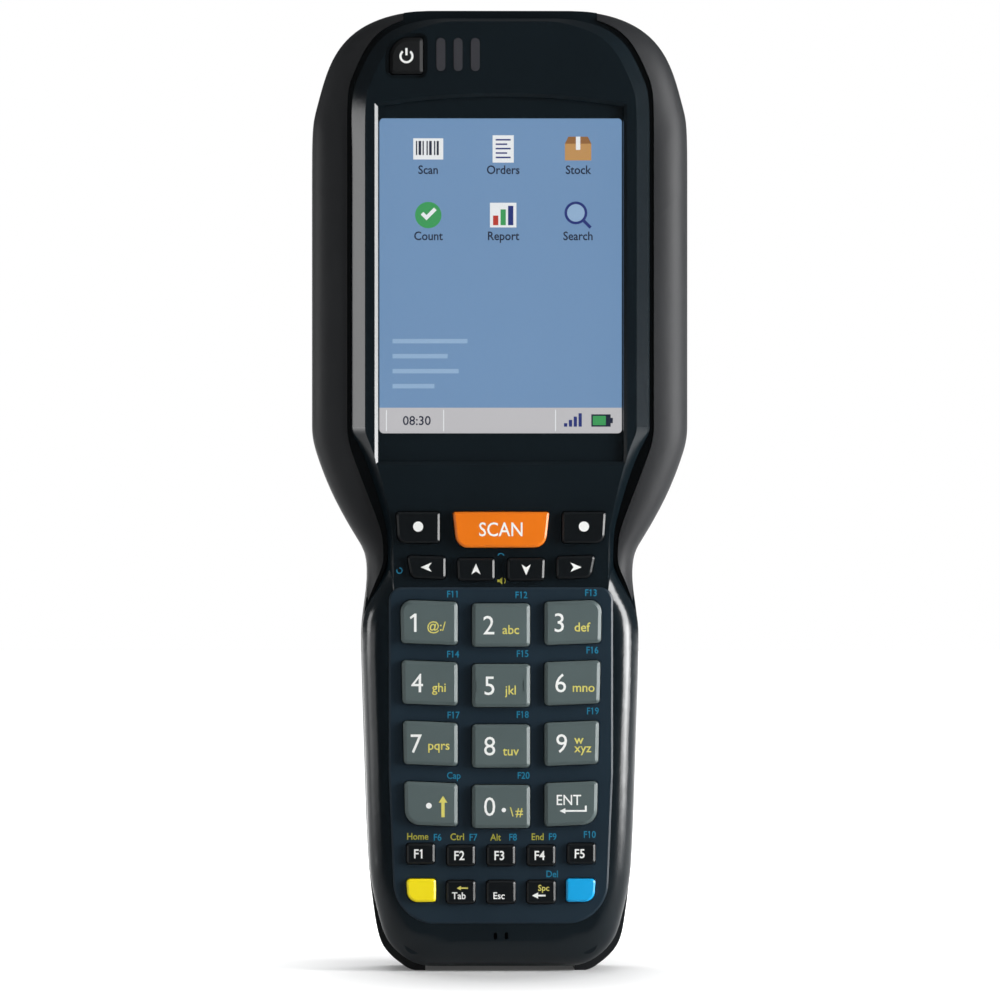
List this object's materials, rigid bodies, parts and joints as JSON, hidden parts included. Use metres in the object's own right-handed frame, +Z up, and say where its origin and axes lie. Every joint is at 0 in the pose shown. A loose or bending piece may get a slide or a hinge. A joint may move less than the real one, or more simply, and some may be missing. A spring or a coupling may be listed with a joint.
{
  "type": "portable barcode data terminal",
  "caption": "Hand-held barcode terminal with a wide display head over a narrow keypad grip, rubber corner guards, a scan window in the top end and a latched battery.",
  "frame": {"origin": "under the middle of the terminal, on the plane of the two rails that it stands on", "axes": "+Z up along the terminal's length, -Y out of the display and keypad, +X to the right as the user sees it"},
  "size_m": [0.0852, 0.041, 0.218],
  "materials": {
    "cover_plastic": "satin, near black with a blue-green cast",
    "panel_plastic": "satin slate",
    "bumper_rubber": "soft-touch black",
    "housing_plastic": "fine-grained black",
    "seal_rubber": "black gasket",
    "seal_foam": "black foam",
    "touch_glass": "clear, glossy",
    "module_metal": "pressed frame",
    "chassis_metal": "pressed sheet",
    "mat_silicone": "translucent grey silicone",
    "board_laminate": "green solder mask",
    "dome_steel": "bright snap domes",
    "flex_film": "amber film",
    "screw_steel": "blackened steel",
    "shield_metal": "tinned can",
    "lens_plastic": "smoky",
    "speaker_plastic": "black",
    "window_plastic": "dark red, glossy",
    "engine_plastic": "black",
    "connector_plastic": "black with gilt pads",
    "insert_brass": "plain",
    "battery_plastic": "fine-grained black",
    "cell_metal": "wrapped cans",
    "contact_plastic": "black carrier",
    "latch_plastic": "fine-grained black",
    "spring_steel": "drawn wire",
    "key_grey": "satin grey",
    "key_black": "satin black",
    "key_orange": "glossy orange",
    "key_yellow_plastic": "glossy yellow",
    "key_blue_plastic": "glossy blue"
  },
  "bodies": {
    "terminal": {"front_cover": "cover_plastic", "keypad_panel": "panel_plastic", "head_bumpers": "bumper_rubber", "rear_housing": "housing_plastic", "housing_seal": "seal_rubber", "display_seal": "seal_foam", "touch_panel": "touch_glass", "display_module": "module_metal", "chassis": "chassis_metal", "keypad_mat": "mat_silicone", "keypad_board": "board_laminate", "dome_switches": "dome_steel", "keypad_flex": "flex_film", "main_board": "board_laminate", "board_screws": "screw_steel", "radio_card": "shield_metal", "status_lenses": "lens_plastic", "microphone": "shield_metal", "speaker": "speaker_plastic", "scan_window": "window_plastic", "scan_engine": "engine_plastic", "engine_bracket": "chassis_metal", "dock_connector": "connector_plastic", "housing_screws": "screw_steel", "strap_inserts": "insert_brass", "battery_case": "battery_plastic", "battery_cells": "cell_metal", "battery_contacts": "contact_plastic", "latch_spring": "spring_steel"},
    "battery_latch": {"battery_latch": "latch_plastic"},
    "key_1": {"key_1": "key_grey"},
    "key_2": {"key_2": "key_grey"},
    "key_3": {"key_3": "key_grey"},
    "key_4": {"key_4": "key_grey"},
    "key_5": {"key_5": "key_grey"},
    "key_6": {"key_6": "key_grey"},
    "key_7": {"key_7": "key_grey"},
    "key_8": {"key_8": "key_grey"},
    "key_9": {"key_9": "key_grey"},
    "key_shift": {"key_shift": "key_grey"},
    "key_0": {"key_0": "key_grey"},
    "key_enter": {"key_enter": "key_grey"},
    "key_f1": {"key_f1": "key_black"},
    "key_yellow": {"key_yellow": "key_yellow_plastic"},
    "key_f2": {"key_f2": "key_black"},
    "key_tab": {"key_tab": "key_black"},
    "key_f3": {"key_f3": "key_black"},
    "key_escape": {"key_escape": "key_black"},
    "key_f4": {"key_f4": "key_black"},
    "key_backspace": {"key_backspace": "key_black"},
    "key_f5": {"key_f5": "key_black"},
    "key_blue": {"key_blue": "key_blue_plastic"},
    "key_scan": {"key_scan": "key_orange"},
    "key_soft_right": {"key_soft_right": "key_black"},
    "key_soft_left": {"key_soft_left": "key_black"},
    "key_right": {"key_right": "key_black"},
    "key_left": {"key_left": "key_black"},
    "key_down": {"key_down": "key_black"},
    "key_up": {"key_up": "key_black"},
    "key_power": {"key_power": "key_black"}
  },
  "joints": [
    {"name": "battery_latch_slide", "type": "slide", "parent": "terminal", "child": "battery_latch", "axis": [0, 0, 1], "range_m": [0, 0.003], "stiffness_N_per_m": 400, "deforming": ["latch_spring"]},
    {"name": "key_1_press", "type": "slide", "parent": "terminal", "child": "key_1", "axis": [0, 1, 0], "range_m": [0, 0.0008], "stiffness_N_per_m": 2000},
    {"name": "key_2_press", "type": "slide", "parent": "terminal", "child": "key_2", "axis": [0, 1, 0], "range_m": [0, 0.0008], "stiffness_N_per_m": 2000},
    {"name": "key_3_press", "type": "slide", "parent": "terminal", "child": "key_3", "axis": [0, 1, 0], "range_m": [0, 0.0008], "stiffness_N_per_m": 2000},
    {"name": "key_4_press", "type": "slide", "parent": "terminal", "child": "key_4", "axis": [0, 1, 0], "range_m": [0, 0.0008], "stiffness_N_per_m": 2000},
    {"name": "key_5_press", "type": "slide", "parent": "terminal", "child": "key_5", "axis": [0, 1, 0], "range_m": [0, 0.0008], "stiffness_N_per_m": 2000},
    {"name": "key_6_press", "type": "slide", "parent": "terminal", "child": "key_6", "axis": [0, 1, 0], "range_m": [0, 0.0008], "stiffness_N_per_m": 2000},
    {"name": "key_7_press", "type": "slide", "parent": "terminal", "child": "key_7", "axis": [0, 1, 0], "range_m": [0, 0.0008], "stiffness_N_per_m": 2000},
    {"name": "key_8_press", "type": "slide", "parent": "terminal", "child": "key_8", "axis": [0, 1, 0], "range_m": [0, 0.0008], "stiffness_N_per_m": 2000},
    {"name": "key_9_press", "type": "slide", "parent": "terminal", "child": "key_9", "axis": [0, 1, 0], "range_m": [0, 0.0008], "stiffness_N_per_m": 2000},
    {"name": "key_shift_press", "type": "slide", "parent": "terminal", "child": "key_shift", "axis": [0, 1, 0], "range_m": [0, 0.0008], "stiffness_N_per_m": 2000},
    {"name": "key_0_press", "type": "slide", "parent": "terminal", "child": "key_0", "axis": [0, 1, 0], "range_m": [0, 0.0008], "stiffness_N_per_m": 2000},
    {"name": "key_enter_press", "type": "slide", "parent": "terminal", "child": "key_enter", "axis": [0, 1, 0], "range_m": [0, 0.0008], "stiffness_N_per_m": 2000},
    {"name": "key_f1_press", "type": "slide", "parent": "terminal", "child": "key_f1", "axis": [0, 1, 0], "range_m": [0, 0.0008], "stiffness_N_per_m": 2000},
    {"name": "key_yellow_press", "type": "slide", "parent": "terminal", "child": "key_yellow", "axis": [0, 1, 0], "range_m": [0, 0.0008], "stiffness_N_per_m": 2000},
    {"name": "key_f2_press", "type": "slide", "parent": "terminal", "child": "key_f2", "axis": [0, 1, 0], "range_m": [0, 0.0008], "stiffness_N_per_m": 2000},
    {"name": "key_tab_press", "type": "slide", "parent": "terminal", "child": "key_tab", "axis": [0, 1, 0], "range_m": [0, 0.0008], "stiffness_N_per_m": 2000},
    {"name": "key_f3_press", "type": "slide", "parent": "terminal", "child": "key_f3", "axis": [0, 1, 0], "range_m": [0, 0.0008], "stiffness_N_per_m": 2000},
    {"name": "key_escape_press", "type": "slide", "parent": "terminal", "child": "key_escape", "axis": [0, 1, 0], "range_m": [0, 0.0008], "stiffness_N_per_m": 2000},
    {"name": "key_f4_press", "type": "slide", "parent": "terminal", "child": "key_f4", "axis": [0, 1, 0], "range_m": [0, 0.0008], "stiffness_N_per_m": 2000},
    {"name": "key_backspace_press", "type": "slide", "parent": "terminal", "child": "key_backspace", "axis": [0, 1, 0], "range_m": [0, 0.0008], "stiffness_N_per_m": 2000},
    {"name": "key_f5_press", "type": "slide", "parent": "terminal", "child": "key_f5", "axis": [0, 1, 0], "range_m": [0, 0.0008], "stiffness_N_per_m": 2000},
    {"name": "key_blue_press", "type": "slide", "parent": "terminal", "child": "key_blue", "axis": [0, 1, 0], "range_m": [0, 0.0008], "stiffness_N_per_m": 2000},
    {"name": "key_scan_press", "type": "slide", "parent": "terminal", "child": "key_scan", "axis": [0, 1, 0], "range_m": [0, 0.0008], "stiffness_N_per_m": 2000},
    {"name": "key_soft_right_press", "type": "slide", "parent": "terminal", "child": "key_soft_right", "axis": [0, 1, 0], "range_m": [0, 0.0008], "stiffness_N_per_m": 2000},
    {"name": "key_soft_left_press", "type": "slide", "parent": "terminal", "child": "key_soft_left", "axis": [0, 1, 0], "range_m": [0, 0.0008], "stiffness_N_per_m": 2000},
    {"name": "key_right_press", "type": "slide", "parent": "terminal", "child": "key_right", "axis": [0, 1, 0], "range_m": [0, 0.0008], "stiffness_N_per_m": 2000},
    {"name": "key_left_press", "type": "slide", "parent": "terminal", "child": "key_left", "axis": [0, 1, 0], "range_m": [0, 0.0008], "stiffness_N_per_m": 2000},
    {"name": "key_down_press", "type": "slide", "parent": "terminal", "child": "key_down", "axis": [0, 1, 0], "range_m": [0, 0.0008], "stiffness_N_per_m": 2000},
    {"name": "key_up_press", "type": "slide", "parent": "terminal", "child": "key_up", "axis": [0, 1, 0], "range_m": [0, 0.0008], "stiffness_N_per_m": 2000},
    {"name": "key_power_press", "type": "slide", "parent": "terminal", "child": "key_power", "axis": [0, 1, 0], "range_m": [0, 0.0008], "stiffness_N_per_m": 2000}
  ]
}
